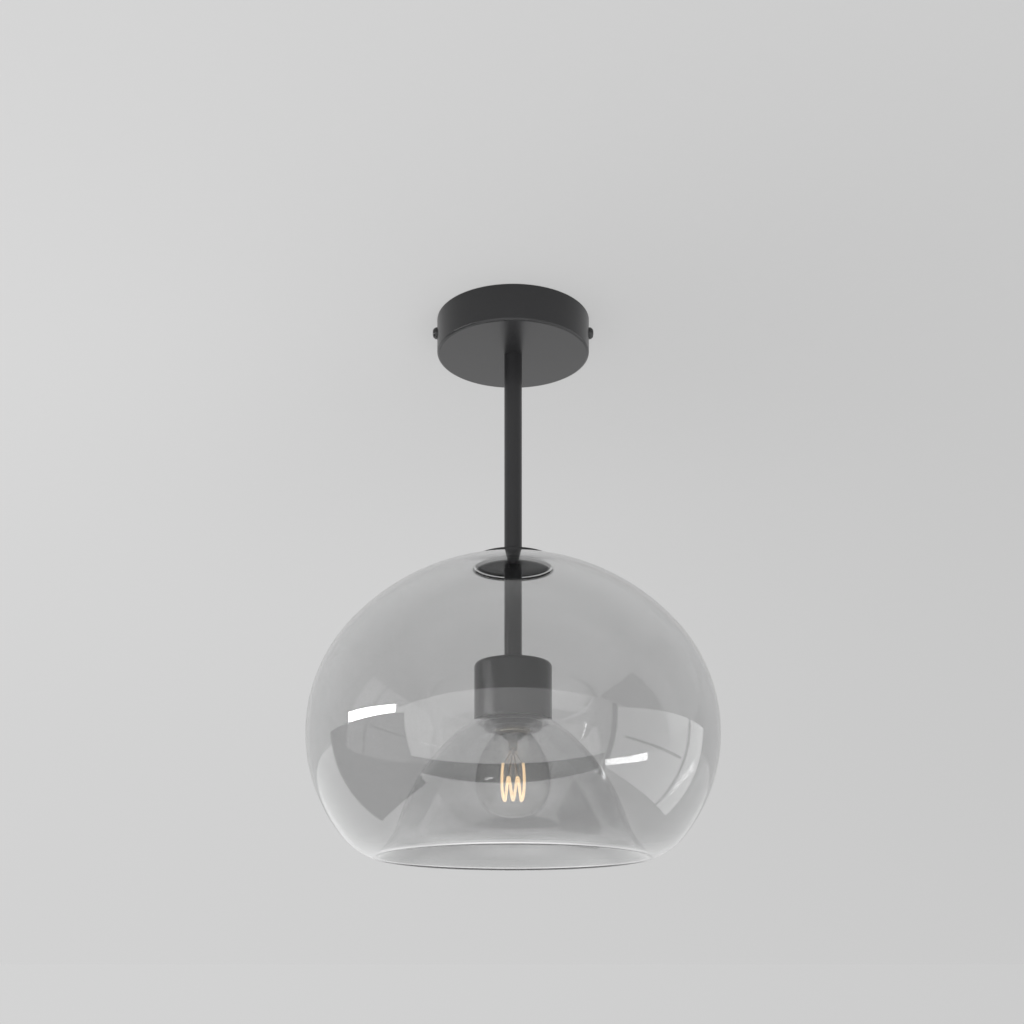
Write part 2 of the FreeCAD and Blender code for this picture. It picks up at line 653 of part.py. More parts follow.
def make_rod():
    floor = size("canopy_depth")
    inside = floor - size("canopy_wall")
    toothed_washer("canopy_washer", inside)
    seat = inside - size("washer_thickness")
    hexagon_nut("canopy_nut", size("nipple_radius"), seat, size("nut_height"))
    top = seat - size("nut_height") - size("nipple_stand_out")
    make_nipple("canopy_nipple", top, floor + size("nipple_grip"))
    lip = size("bushing_lip")
    plug = top + size("bushing_depth")
    turned_piece("wire_bushing", [(size("bushing_bore"), plug), (size("nipple_bore"), plug),
                                  (size("nipple_bore"), top), (size("nipple_radius"), top),
                                  (size("nipple_radius"), top - lip), (size("bushing_bore"), top - lip)])
    ring_piece("upper_rod", size("nipple_radius"), size("rod_radius"), floor, size("disc_drop"))
    under = size("disc_drop") + size("disc_thickness")
    make_nipple("disc_nipple", size("disc_drop") - size("nipple_grip"), under + size("nipple_grip"))
    body, disc = ring_piece("shade_hole_disc", size("nipple_radius"), size("disc_radius"),
                            size("disc_drop"), under)
    soften(body, disc, [(size("disc_radius"), size("disc_drop")), (size("disc_radius"), under)],
           size("disc_chamfer"), "Chamfer")
    ring_piece("lower_rod", size("nipple_radius"), size("rod_radius"), under, size("cover_drop"))


# ---------------------------------------------------------------- lampholder

def make_cover():
    wall = size("cover_wall")
    outer = size("cover_radius")
    top = size("cover_drop")
    bottom = size("cover_bottom_drop")
    bore = size("nipple_radius") + size("nipple_clearance")
    inner = outer - wall
    body, cup = turned_piece("lampholder_cover", [(bore, top), (outer, top), (outer, bottom), (inner, bottom),
                                                  (inner, top + wall), (bore, top + wall)])
    rounded = soften(body, cup, [(outer, top)], size("cover_round"))
    soften(body, rounded, [(inner, top + wall)], size("cover_round") - wall)
    seat = top + wall + size("washer_thickness")
    toothed_washer("lampholder_washer", seat)
    hexagon_nut("lampholder_nut", size("nipple_radius"), size("cap_drop"), size("cap_drop") - seat)
    collar_end = size("cap_drop") + size("collar_height")
    make_nipple("lampholder_nipple", top - size("nipple_grip"), collar_end - size("nipple_end_gap"))


def make_lampholder():
    outer = size("holder_radius")
    wall = size("holder_wall")
    top = size("cap_drop")
    neck = size("collar_radius")
    bore = size("nipple_radius")
    shoulder = size("cap_shoulder_drop")
    foot = size("cap_bottom_drop")
    collar_end = top + size("collar_height")
    inner = outer - wall
    turned_piece("lampholder_cap", [(bore, top), (neck, top), (neck, collar_end - wall),
                                    (inner, shoulder - wall), (outer, shoulder), (outer, foot), (inner, foot),
                                    (inner, shoulder + wall / 2), (neck, collar_end), (bore, collar_end)])
    flange = size("flange_drop")
    under = flange + size("flange_thickness")
    bottom = size("skirt_bottom_drop")
    ledge = size("holder_ledge_radius")
    seat = size("insert_drop") + size("insert_height")
    rim = size("flange_radius")
    insert = size("insert_radius")
    insert_top = size("insert_drop")
    turned_piece("lampholder_skirt", [(ledge, bottom), (outer, bottom), (outer, under), (rim, under),
                                      (rim, flange), (outer, flange), (outer, foot), (insert, foot),
                                      (insert, seat), (ledge, seat)])
    turned_piece("socket_insert", [(AXIS, insert_top), (insert, insert_top), (insert, seat), (AXIS, seat)])
    contact = size("contact_radius")
    contact_end = seat + size("contact_height")
    turned_piece("centre_contact", [(AXIS, seat), (contact, seat),
                                    (contact - size("contact_bevel"), contact_end), (AXIS, contact_end)])
    shell_bore = size("shell_bore_radius")
    shell_outside = shell_bore + size("shell_wall")
    ring_piece("socket_shell", shell_bore, shell_outside, size("shell_drop"), size("shell_bottom_drop"))
    ring_piece("socket_bezel", shell_outside, ledge, seat, bottom - size("bezel_recess"))
    terminals = []
    for side in (-1, 1):
        name = "terminal_" + ("right" if side > 0 else "left")
        terminals.append(block(name, size("terminal_width"), size("terminal_width"), size("terminal_height"),
                               size("terminal_radius") * side, AXIS, insert_top))
    group("socket_terminals", terminals)
    thickness = size("gasket_thickness")
    ring_piece("upper_gasket", size("neck_hole_radius"), rim, under, under + thickness)
    seal = size("neck_drop") + size("glass_wall")
    ring_piece("lower_gasket", size("neck_hole_radius"), size("neck_flat_radius"), seal, seal + thickness)
    seat = seal + thickness
    foot = seat + size("ring_height")
    body, ring = ring_piece("shade_ring", size("ring_bore_radius"), size("ring_radius"), seat, foot)
    soften(body, ring, [(size("ring_radius"), foot)], size("ring_chamfer"), "Chamfer")


# ---------------------------------------------------------------- glass shade

def circles_meeting(first, first_radius, second, second_radius):
    """The upper of the two points at given distances from two centres."""
    gap_x = second[0] - first[0]
    gap_z = second[1] - first[1]
    gap = math.hypot(gap_x, gap_z)
    along = (first_radius ** 2 - second_radius ** 2 + gap ** 2) / (2 * gap)
    aside = math.sqrt(first_radius ** 2 - along ** 2)
    return (first[0] + (along * gap_x - aside * gap_z) / gap,
            first[1] + (along * gap_z + aside * gap_x) / gap)


def angle_towards(start, end):
    return math.atan2(end[1] - start[1], end[0] - start[0])


def shade_arcs():
    """The skin's arcs from the top hole, over the dome, under the lip and up
    the bell to its neck, as (centre, radius, angle entered, angle left)."""
    wall = size("glass_wall").value
    crown, equator = size("crown_radius").value, size("equator_radius").value
    heel, lip = size("heel_radius").value, size("lip_radius").value
    flare, bell = size("flare_radius").value, size("bell_radius").value
    shoulder = size("shoulder_radius").value
    equator_centre = (size("shade_radius").value - equator, -size("shade_widest_drop").value)
    crown_centre = (0.0, equator_centre[1] - math.sqrt((crown - equator) ** 2 - equator_centre[0] ** 2))
    heel_x = size("heel_centre_radius").value
    heel_fall = math.sqrt((equator - heel) ** 2 - (heel_x - equator_centre[0]) ** 2)
    heel_centre = (heel_x, equator_centre[1] - heel_fall)
    lip_x = size("lip_centre_radius").value
    lip_centre = (lip_x, heel_centre[1] - math.sqrt((heel - lip) ** 2 - (lip_x - heel_x) ** 2))
    shoulder_centre = (size("neck_flat_radius").value, -size("neck_drop").value - wall - shoulder)
    bell_x = -size("bell_centre_offset").value
    bell_fall = math.sqrt((bell - shoulder) ** 2 - (shoulder_centre[0] - bell_x) ** 2)
    bell_centre = (bell_x, shoulder_centre[1] - bell_fall)
    flare_centre = circles_meeting(bell_centre, bell + flare, lip_centre, flare - lip)
    hole = math.acos(size("top_hole_radius").value / crown)
    over = angle_towards(crown_centre, equator_centre)
    under = angle_towards(equator_centre, heel_centre)
    tuck = angle_towards(heel_centre, lip_centre)
    roll = angle_towards(flare_centre, lip_centre)
    spread = angle_towards(bell_centre, flare_centre)
    rise = angle_towards(bell_centre, shoulder_centre)
    return [(crown_centre, crown, hole, over), (equator_centre, equator, over, under),
            (heel_centre, heel, under, tuck), (lip_centre, lip, tuck, roll),
            (flare_centre, flare, roll, spread - math.pi), (bell_centre, bell, spread, rise),
            (shoulder_centre, shoulder, rise, math.pi / 2)]


def make_shade():
    wall = size("glass_wall")
    skin_arcs = shade_arcs()
    hole = size("top_hole_radius").value
    lining_arcs = []
    for centre, radius, enter, leave in skin_arcs:
        inner = radius - wall.value if leave < enter else radius + wall.value
        start = enter if lining_arcs else math.acos(hole / inner)
        lining_arcs.append((centre, inner, start, leave))
    body = new_body("glass_shade")
    drawing = new_sketch(body, "shade_profile", "XZ_Plane")
    skin, lining, opening, last_skin, last_lining = walled_outline(
        drawing, skin_arcs, lining_arcs, size("crown_radius") - wall)
    names = ("crown_radius", "equator_radius", "heel_radius", "lip_radius", "flare_radius", "bell_radius",
             "shoulder_radius")
    for (arc, _, _), name in zip(skin, names):
        constrain(drawing, "Radius", arc, amount=size(name))
    crown, equator, heel, lip, _, bell, shoulder = [arc for arc, _, _ in skin]
    constrain(drawing, "PointOnObject", crown, 3, -2)
    constrain(drawing, "DistanceX", -1, 1, equator, 3, amount=size("shade_radius") - size("equator_radius"))
    constrain(drawing, "DistanceY", equator, 3, -1, 1, amount=size("shade_widest_drop"))
    constrain(drawing, "DistanceX", -1, 1, heel, 3, amount=size("heel_centre_radius"))
    constrain(drawing, "DistanceX", -1, 1, lip, 3, amount=size("lip_centre_radius"))
    constrain(drawing, "DistanceX", bell, 3, -1, 1, amount=size("bell_centre_offset"))
    constrain(drawing, "DistanceX", -1, 1, shoulder, 3, amount=size("neck_flat_radius"))
    constrain(drawing, "DistanceY", shoulder, 3, -1, 1,
              amount=size("neck_drop") + wall + size("shoulder_radius"))
    constrain(drawing, "Vertical", opening)
    constrain(drawing, "DistanceX", -1, 1, opening, 1, amount=size("top_hole_radius"))
    neck = size("neck_hole_radius")
    under = FreeCAD.Vector(neck.value, last_skin.y, 0)
    above = FreeCAD.Vector(neck.value, last_lining.y, 0)
    flat = drawing.addGeometry(Part.LineSegment(last_skin, under), False)
    edge = drawing.addGeometry(Part.LineSegment(under, above), False)
    seat = drawing.addGeometry(Part.LineSegment(above, last_lining), False)
    constrain(drawing, "Tangent", skin[-1][0], skin[-1][2], flat, 1)
    constrain(drawing, "Coincident", flat, 2, edge, 1)
    constrain(drawing, "Coincident", edge, 2, seat, 1)
    constrain(drawing, "Tangent", seat, 2, lining[-1][0], lining[-1][2])
    constrain(drawing, "Horizontal", flat)
    constrain(drawing, "Horizontal", seat)
    constrain(drawing, "Vertical", edge)
    constrain(drawing, "DistanceX", -1, 1, edge, 1, amount=neck)
    shade = turn(body, drawing)
    rims = ["Edge%d" % number for number, rim in enumerate(shade.Shape.Edges, start=1)
            if hasattr(rim.Curve, "Radius") and abs(rim.Curve.Radius - hole) < MATCH]
    polished = body.newObject("PartDesign::Fillet", "shade_hole_polish")
    polished.Base = (shade, rims)
    bind(polished, "Radius", size("hole_edge_round"))
    doc.recompute()
    keep(body, "glass_shade")


# ---------------------------------------------------------------- bulb

def make_bulb_glass():
    radius = size("bulb_radius")
    flank = size("bulb_flank_radius")
    wall = size("bulb_glass")
    drop = size("bulb_widest_drop").value
    neck = size("bulb_neck_radius").value
    flank_centre = (radius.value - flank.value, -drop)
    ball_centre = (0.0, -drop)
    skin_arcs = [(flank_centre, flank.value, math.acos((neck - flank_centre[0]) / flank.value), 0.0),
                 (ball_centre, radius.value, 0.0, -math.pi / 2)]
    thin = flank.value - wall.value
    start = math.acos((neck - wall.value - flank_centre[0]) / thin)
    lining_arcs = [(flank_centre, thin, start, 0.0),
                   (ball_centre, radius.value - wall.value, 0.0, -math.pi / 2)]
    body = new_body("bulb_glass")
    drawing = new_sketch(body, "bulb_profile", "XZ_Plane")
    skin, lining, opening, last_skin, last_lining = walled_outline(
        drawing, skin_arcs, lining_arcs, flank - wall)
    constrain(drawing, "Radius", skin[0][0], amount=flank)
    constrain(drawing, "Radius", skin[1][0], amount=radius)
    constrain(drawing, "PointOnObject", skin[1][0], 3, -2)
    constrain(drawing, "DistanceY", skin[1][0], 3, -1, 1, amount=size("bulb_widest_drop"))
    constrain(drawing, "DistanceY", skin[0][0], 3, -1, 1, amount=size("bulb_widest_drop"))
    constrain(drawing, "DistanceX", -1, 1, opening, 2, amount=size("bulb_neck_radius"))
    constrain(drawing, "DistanceX", -1, 1, opening, 1, amount=size("bulb_neck_radius") - wall)
    closing = drawing.addGeometry(Part.LineSegment(last_skin, last_lining), False)
    constrain(drawing, "Coincident", closing, 1, skin[1][0], skin[1][2])
    constrain(drawing, "Coincident", closing, 2, lining[1][0], lining[1][2])
    constrain(drawing, "PointOnObject", closing, 1, -2)
    constrain(drawing, "PointOnObject", closing, 2, -2)
    turn(body, drawing)
    keep(body, "bulb_glass")


def make_bulb_cap():
    outer = size("bulb_cap_radius")
    inner = outer - size("bulb_cap_wall")
    top = size("bulb_cap_drop")
    tip = size("bulb_tip_drop")
    neck = size("cap_shoulder_radius")
    shoulder = top - size("cap_shoulder_rise")
    bottom = size("bulb_cap_bottom_drop")
    wall = size("bulb_cap_wall")
    throat = neck - wall
    turned_piece("bulb_cap", [(inner, bottom), (outer, bottom), (outer, top), (neck, shoulder),
                              (throat, shoulder), (throat, shoulder + wall), (inner, top + wall)])
    solder = size("solder_radius")
    seat = tip + size("solder_height")
    turned_piece("bulb_insulator", [(AXIS, seat), (solder, seat), (throat, shoulder), (throat, top),
                                    (AXIS, top)])
    turned_piece("bulb_contact", [(AXIS, tip), (solder - size("contact_bevel"), tip), (solder, seat),
                                  (AXIS, seat)])


def make_bulb_stem():
    foot = size("stem_foot_drop")
    tip = size("stem_tip_drop")
    wide = size("stem_foot_radius")
    narrow = size("stem_radius")
    taper = size("stem_tip_taper")
    turned_piece("bulb_stem", [(AXIS, foot), (wide, foot), (wide, foot + size("stem_foot_height")),
                               (narrow, foot + size("stem_cone_height")), (narrow, tip - taper),
                               (narrow - taper, tip), (AXIS, tip)])


def filament_place(step):
    """A point on the ring of the filament's upright runs, seen from above."""
    from_front = size("filament_step_angle").value * (step - (FILAMENT_RUNS - 1) / 2)
    angle = math.radians(from_front) - math.pi / 2
    ring = size("filament_ring_radius").value
    return ring * math.cos(angle), ring * math.sin(angle)


def lead_wire(start, stop):
    """A thin straight wire that stops just short of what it joins."""
    way = stop - start
    gap = size("lead_gap").value
    heading = FreeCAD.Vector(way).normalize()
    return Part.makeCylinder(size("lead_radius").value, way.Length - 2 * gap, start + heading * gap, heading)


def make_filament():
    """Six upright runs around the stem, joined in turn below and above by
    half circles, in one unbroken round tube."""
    top = -size("filament_top_drop").value
    bottom = -size("filament_bottom_drop").value
    end = -size("filament_end_drop").value
    edges = []
    runs = [filament_place(step) for step in range(FILAMENT_RUNS)]
    last = FILAMENT_RUNS - 1
    half_step = math.dist(runs[0], runs[1]) / 2
    for step, (x, y) in enumerate(runs):
        high = end if step in (0, last) else top - half_step
        low = bottom + half_step
        start, stop = (high, low) if step % 2 == 0 else (low, high)
        edges.append(Part.LineSegment(FreeCAD.Vector(x, y, start), FreeCAD.Vector(x, y, stop)).toShape())
        if step == last:
            break
        next_x, next_y = runs[step + 1]
        level = low if step % 2 == 0 else high
        swing = -half_step if step % 2 == 0 else half_step
        here = FreeCAD.Vector(x, y, level)
        there = FreeCAD.Vector(next_x, next_y, level)
        middle = (here + there) / 2 + FreeCAD.Vector(0, 0, swing)
        edges.append(Part.Arc(here, middle, there).toShape())
    shaped("bulb_filament", round_tube(Part.Wire(edges), size("filament_radius").value))
    leads = []
    tip = -size("stem_tip_drop").value
    spread = size("lead_spread").value
    for (x, y), side in ((runs[0], -1), (runs[last], 1)):
        leads.append(lead_wire(FreeCAD.Vector(side * spread, 0, tip), FreeCAD.Vector(x, y, end)))
    hook = -size("filament_top_drop").value + size("filament_radius").value
    for step in (1, 3):
        x = (runs[step][0] + runs[step + 1][0]) / 2
        y = (runs[step][1] + runs[step + 1][1]) / 2
        root = FreeCAD.Vector(0, math.copysign(spread, step - 2), tip)
        leads.append(lead_wire(root, FreeCAD.Vector(x, y, hook)))
    shaped("bulb_leads", Part.makeCompound(leads))


# ---------------------------------------------------------------- wires

def make_wires():
    """Live and neutral run from the terminal block down the rod to the
    lampholder, and the earth wire runs to its lug on the strap."""
    radius = size("wire_radius").value
    inside = size("block_x").value + size("block_width").value / 2 - 4
    level = -size("pole_drop").value
    foot = -size("insert_drop").value + size("terminal_height").value
    side = size("terminal_radius").value
    pitch = size("pole_pitch").value
    for label, pole, sign in (("live_wire", -1, -1), ("neutral_wire", 0, 1)):
        offset = sign * size("wire_offset").value
        start = pitch * pole
        points = [(inside, start, level), (inside + 5, start, level),
                  (-6.2, start * 0.6 + offset * 0.4, level - 2),
                  (-1.2, start * 0.05 + offset * 0.95, level - 7.5), (0, offset, level - 17),
                  (0, offset, foot + 19), (sign * 0.6, offset * 1.1, foot + 11),
                  (sign * side * 0.4, offset * 1.2, foot + 6.2), (sign * side, 0, foot + 4.8),
                  (sign * side, 0, foot)]
        route = rounded_route(points)
        shaped(label, round_tube(route, radius))
        report_radii(label, route)
    lug_end = size("lug_radius").value + size("lug_tongue_length").value - 1
    spot = size("earth_screw_x").value
    under = -size("strap_thickness").value - size("lug_thickness").value / 2
    points = [(inside, pitch, level), (inside + 5, pitch, level), (spot - 14, lug_end + 3, level - 0.5),
              (spot - 5, lug_end + 6.5, level + 1), (spot - 0.5, lug_end + 5, under - 2),
              (spot, lug_end + 0.2, under)]
    route = rounded_route(points)
    shaped("earth_wire", round_tube(route, radius))
    report_radii("earth_wire", route)


def report_radii(label, route):
    bends = [edge.Curve.Radius for edge in route.Edges if hasattr(edge.Curve, "Radius")]
    print(label, "length %.0f" % route.Length, "bend radii", " ".join("%.1f" % bend for bend in bends))


# ---------------------------------------------------------------- build

def check_document():
    for item in doc.Objects:
        if "Invalid" in item.State or "Error" in item.State:
            raise ValueError("%s is %s" % (item.Name, item.State))
    for piece in pieces:
        if piece.Shape.isNull() or not piece.Shape.isValid() or not piece.Shape.Solids:
            raise ValueError("the shape of %s isn't a valid solid" % piece.Label)


def write_pieces():
    os.makedirs("parts", exist_ok=True)
    for piece in pieces:
        piece.Shape.exportStep(os.path.join("parts", piece.Label + ".step"))
        print("%-24s solids %2d  volume %10.1f" % (piece.Label, len(piece.Shape.Solids), piece.Shape.Volume))


make_strap()
make_canopy()
make_side_screw("side_screw_left", -1)
make_side_screw("side_screw_right", 1)
make_terminal_block()
make_earth_point()
make_rod()
make_cover()
make_lampholder()
make_shade()
make_bulb_cap()
make_bulb_stem()
make_bulb_glass()
make_filament()
make_wires()
doc.recompute()
check_document()
write_pieces()
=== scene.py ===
"""Looks of a ceiling light on a rigid rod: smoked glass, black metal, a clear bulb and a plain room.

Lengths are in metres in the frame of the construction model, whose origin is in the plane
of the ceiling. A drop is a distance below it.
"""
import json
import math

import bmesh
import bpy
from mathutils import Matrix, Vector


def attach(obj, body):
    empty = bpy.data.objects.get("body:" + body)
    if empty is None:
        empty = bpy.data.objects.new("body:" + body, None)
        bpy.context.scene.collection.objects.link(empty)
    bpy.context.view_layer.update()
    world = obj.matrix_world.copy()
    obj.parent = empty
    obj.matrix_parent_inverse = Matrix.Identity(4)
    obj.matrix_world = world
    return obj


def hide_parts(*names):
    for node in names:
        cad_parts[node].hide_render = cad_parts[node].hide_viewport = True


MERGE_GAP = 1e-6

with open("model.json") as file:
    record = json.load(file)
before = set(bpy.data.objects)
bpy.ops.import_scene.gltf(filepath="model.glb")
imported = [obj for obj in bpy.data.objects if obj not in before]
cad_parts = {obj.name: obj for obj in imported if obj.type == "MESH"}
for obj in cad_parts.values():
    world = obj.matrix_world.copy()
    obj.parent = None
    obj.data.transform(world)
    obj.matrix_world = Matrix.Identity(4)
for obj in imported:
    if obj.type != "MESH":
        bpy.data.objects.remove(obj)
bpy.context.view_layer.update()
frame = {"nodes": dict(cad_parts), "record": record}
nodes = frame["nodes"]


def mm(length):
    return length / 1000.0


# ---------------------------------------------------------------- sizes

GLASS_WALL = mm(3.0)
SHADE_RADIUS = mm(163.0)
SHADE_WIDEST_DROP = mm(330.0)
TOP_HOLE_RADIUS = mm(33.0)
CROWN_RADIUS = mm(176.0)
EQUATOR_RADIUS = mm(124.0)
HEEL_RADIUS = mm(48.0)
HEEL_CENTRE_RADIUS = mm(97.0)
LIP_RADIUS = mm(5.5)
LIP_CENTRE_RADIUS = mm(109.0)
FLARE_RADIUS = mm(44.0)
BELL_RADIUS = mm(150.0)
BELL_CENTRE_OFFSET = mm(55.6)
SHOULDER_RADIUS = mm(21.0)
NECK_FLAT_RADIUS = mm(22.0)
NECK_DROP = mm(314.5)
NECK_HOLE_RADIUS = mm(20.3)

BULB_RADIUS = mm(30.0)
BULB_WIDEST_DROP = mm(366.0)
BULB_FLANK_RADIUS = mm(55.0)
BULB_WALL = mm(0.8)
BULB_NECK_RADIUS = mm(13.17)

FILAMENT_RADIUS = mm(1.15)
FILAMENT_RING = mm(8.2)
FILAMENT_BULGE = mm(1.6)
FILAMENT_MIDDLE_DROP = mm(371.2)
FILAMENT_SWING = mm(9.0)
FILAMENT_RISE = mm(34.8)
# Angles in degrees: round the stem for each half wave and for each end, and the bend of an end.
FILAMENT_HALF_WAVE = 26.0
FILAMENT_END_TURN = 23.0
FILAMENT_END_BEND = 67.5
# Half waves from the front to where an end begins, to its tip, and a short way along the route.
END_BEGINS = 2.0
END_TIP = 3.0
SHORT_WAY = 0.01

SHADE_TURN_STEPS = 288
BULB_TURN_STEPS = 128
ARC_STEP = mm(2.5)
BULB_ARC_STEP = mm(1.5)
RIM_STEP = mm(0.6)
FILAMENT_STEPS = 144
FILAMENT_SIDES = 12

# Edges sharper than these angles, in degrees, stay sharp.
SHADE_SHARP = 40.0
BULB_SHARP = 60.0
FILAMENT_SHARP = 50.0


# ---------------------------------------------------------------- shapes

def arc_points(centre, radius, start, end, step=ARC_STEP):
    """Points along an arc in the (distance from the axis, height) plane."""
    count = max(3, round(abs(end - start) * radius / step))
    angles = [start + (end - start) * number / count for number in range(count + 1)]
    return [(centre[0] + radius * math.cos(angle), centre[1] + radius * math.sin(angle)) for angle in angles]


def towards(start, end):
    """The angle of the way from one point to another."""
    return math.atan2(end[1] - start[1], end[0] - start[0])


def below(centre, across, reach):
    """The point at a distance from the axis that lies a given reach below a centre."""
    return (across, centre[1] - math.sqrt(reach ** 2 - (across - centre[0]) ** 2))


def meeting(first, first_reach, second, second_reach):
    """The upper of the two points at given distances from two centres."""
    gap = math.dist(first, second)
    along = (first_reach ** 2 - second_reach ** 2 + gap ** 2) / (2 * gap)
    aside = math.sqrt(first_reach ** 2 - along ** 2)
    run = ((second[0] - first[0]) / gap, (second[1] - first[1]) / gap)
    return (first[0] + along * run[0] - aside * run[1], first[1] + along * run[1] + aside * run[0])


def shade_arcs():
    """The shade's skin from the top hole over the dome, round the lip and up the inner bell."""
    equator = (SHADE_RADIUS - EQUATOR_RADIUS, -SHADE_WIDEST_DROP)
    crown = below(equator, 0.0, CROWN_RADIUS - EQUATOR_RADIUS)
    heel = below(equator, HEEL_CENTRE_RADIUS, EQUATOR_RADIUS - HEEL_RADIUS)
    lip = below(heel, LIP_CENTRE_RADIUS, HEEL_RADIUS - LIP_RADIUS)
    shoulder = (NECK_FLAT_RADIUS, -NECK_DROP - GLASS_WALL - SHOULDER_RADIUS)
    bell = below(shoulder, -BELL_CENTRE_OFFSET, BELL_RADIUS - SHOULDER_RADIUS)
    flare = meeting(bell, BELL_RADIUS + FLARE_RADIUS, lip, FLARE_RADIUS - LIP_RADIUS)
    spread = towards(bell, flare)
    return [(crown, CROWN_RADIUS, math.acos(TOP_HOLE_RADIUS / CROWN_RADIUS), towards(crown, equator)),
            (equator, EQUATOR_RADIUS, towards(crown, equator), towards(equator, heel)),
            (heel, HEEL_RADIUS, towards(equator, heel), towards(heel, lip)),
            (lip, LIP_RADIUS, towards(heel, lip), towards(flare, lip)),
            (flare, FLARE_RADIUS, towards(flare, lip), spread - math.pi),
            (bell, BELL_RADIUS, spread, towards(bell, shoulder)),
            (shoulder, SHOULDER_RADIUS, towards(bell, shoulder), math.pi / 2)]


def finish_mesh(name, shape, sharp_angle=None):
    """Turn a shape into a smooth object in the scene, with sharp edges above an angle in degrees."""
    mesh = bpy.data.meshes.new(name)
    for face in shape.faces:
        face.smooth = True
    shape.to_mesh(mesh)
    shape.free()
    if sharp_angle is not None:
        mesh.set_sharp_from_angle(angle=math.radians(sharp_angle))
    piece = bpy.data.objects.new(name, mesh)
    bpy.context.scene.collection.objects.link(piece)
    return piece


def lathe(name, outline, steps, closed, sharp_angle):
    """Turn an outline of (distance from the axis, height) a full turn about the light's axis."""
    shape = bmesh.new()
    corners = [shape.verts.new((max(across, 0.0), 0.0, height)) for across, height in outline]
    pairs = list(zip(corners, corners[1:]))
    if closed:
        pairs.append((corners[-1], corners[0]))
    edges = [shape.edges.new(pair) for pair in pairs]
    bmesh.ops.spin(shape, geom=corners + edges, axis=(0, 0, 1), cent=(0, 0, 0), steps=steps,
                   angle=math.tau, use_merge=True)
    bmesh.ops.remove_doubles(shape, verts=shape.verts, dist=MERGE_GAP)
    bmesh.ops.recalc_face_normals(shape, faces=shape.faces)
    return finish_mesh(name, shape, sharp_angle)


def dress(piece, body, finish, replaced):
    """Let a new piece move with a body, take a finish and stand for a construction node."""
    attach(piece, body)
    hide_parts(replaced)
    piece.data.materials.append(bpy.data.materials[finish])


def make_shade():
    """Skin and lining on the same centres, a round rim at the top hole and a flat one at the neck."""
    skin = []
    lining = []
    for centre, radius, enter, leave in shade_arcs():
        inside = radius - GLASS_WALL if leave < enter else radius + GLASS_WALL
        skin += arc_points(centre, radius, enter, leave)[:-1]
        lining += arc_points(centre, inside, enter, leave)[:-1]
    crown, _, slope, _ = shade_arcs()[0]
    half_wall = GLASS_WALL / 2
    middle = CROWN_RADIUS - half_wall
    rim_centre = (crown[0] + middle * math.cos(slope), crown[1] + middle * math.sin(slope))
    rim = arc_points(rim_centre, half_wall, slope + math.pi, slope, RIM_STEP)[1:-1]
    neck = [(across, -NECK_DROP - depth) for across, depth in (
        (NECK_FLAT_RADIUS, GLASS_WALL), (NECK_HOLE_RADIUS, GLASS_WALL),
        (NECK_HOLE_RADIUS, 0.0), (NECK_FLAT_RADIUS, 0.0))]
    outline = skin + neck + lining[::-1] + rim
    return lathe("glass_shade_blown", outline, SHADE_TURN_STEPS, closed=True, sharp_angle=SHADE_SHARP)


def make_bulb():
    """A thin bulb, open at the neck, where the cap hides its edge."""
    middle = -BULB_WIDEST_DROP
    flank = (BULB_RADIUS - BULB_FLANK_RADIUS, middle)
    skin = []
    lining = []
    for wall, points in ((0.0, skin), (BULB_WALL, lining)):
        reach = BULB_FLANK_RADIUS - wall
        neck = math.acos((BULB_NECK_RADIUS - wall - flank[0]) / reach)
        points += arc_points(flank, reach, neck, 0.0, BULB_ARC_STEP)[:-1]
        points += arc_points((0.0, middle), BULB_RADIUS - wall, 0.0, -math.pi / 2, BULB_ARC_STEP)
    outline = skin[::-1] + lining
    return lathe("bulb_glass_blown", outline, BULB_TURN_STEPS, closed=False, sharp_angle=BULB_SHARP)


def filament_point(turn):
    """The soft looped route round the stem. A turn counts half waves from the front, where
    the route dips. At both ends the route swings out and up to its lead wire."""
    past = max(abs(turn) - END_BEGINS, 0.0)
    inner = max(-END_BEGINS, min(END_BEGINS, turn))
    around = math.radians(FILAMENT_HALF_WAVE * inner + math.copysign(FILAMENT_END_TURN * past, turn))
    reach = FILAMENT_RING + FILAMENT_BULGE * math.sin(math.pi * past)
    rise = FILAMENT_RISE * math.sin(math.radians(FILAMENT_END_BEND * past)) ** 2
    height = rise - FILAMENT_MIDDLE_DROP - FILAMENT_SWING * math.cos(math.pi * inner)
    return Vector((reach * math.sin(around), -reach * math.cos(around), height))


def filament_ring(shape, turn):
    """The edges of one ring of the filament's tube, square to its route."""
    place = filament_point(turn)
    heading = (filament_point(turn + SHORT_WAY) - filament_point(turn - SHORT_WAY)).normalized()
    outward = Vector((place.x, place.y, 0.0)).normalized()
    outward = (outward - heading * outward.dot(heading)).normalized()
    sideways = heading.cross(outward)
    corners = []
    for side in range(FILAMENT_SIDES):
        angle = math.tau * side / FILAMENT_SIDES
        aim = outward * math.cos(angle) + sideways * math.sin(angle)
        corners.append(shape.verts.new(place + aim * FILAMENT_RADIUS))
    return [shape.edges.new((corners[side - 1], corners[side])) for side in range(FILAMENT_SIDES)]


def make_filament():
    """A round tube along the looped route, closed at both ends."""
    shape = bmesh.new()
    turns = [2 * END_TIP * number / FILAMENT_STEPS - END_TIP for number in range(FILAMENT_STEPS + 1)]
    rings = [filament_ring(shape, turn) for turn in turns]
    for first, second in zip(rings, rings[1:]):
        bmesh.ops.bridge_loops(shape, edges=first + second)
    bmesh.ops.edgeloop_fill(shape, edges=rings[0] + rings[-1])
    bmesh.ops.recalc_face_normals(shape, faces=shape.faces)
    return finish_mesh("bulb_filament_loops", shape, FILAMENT_SHARP)


# ---------------------------------------------------------------- shared effects

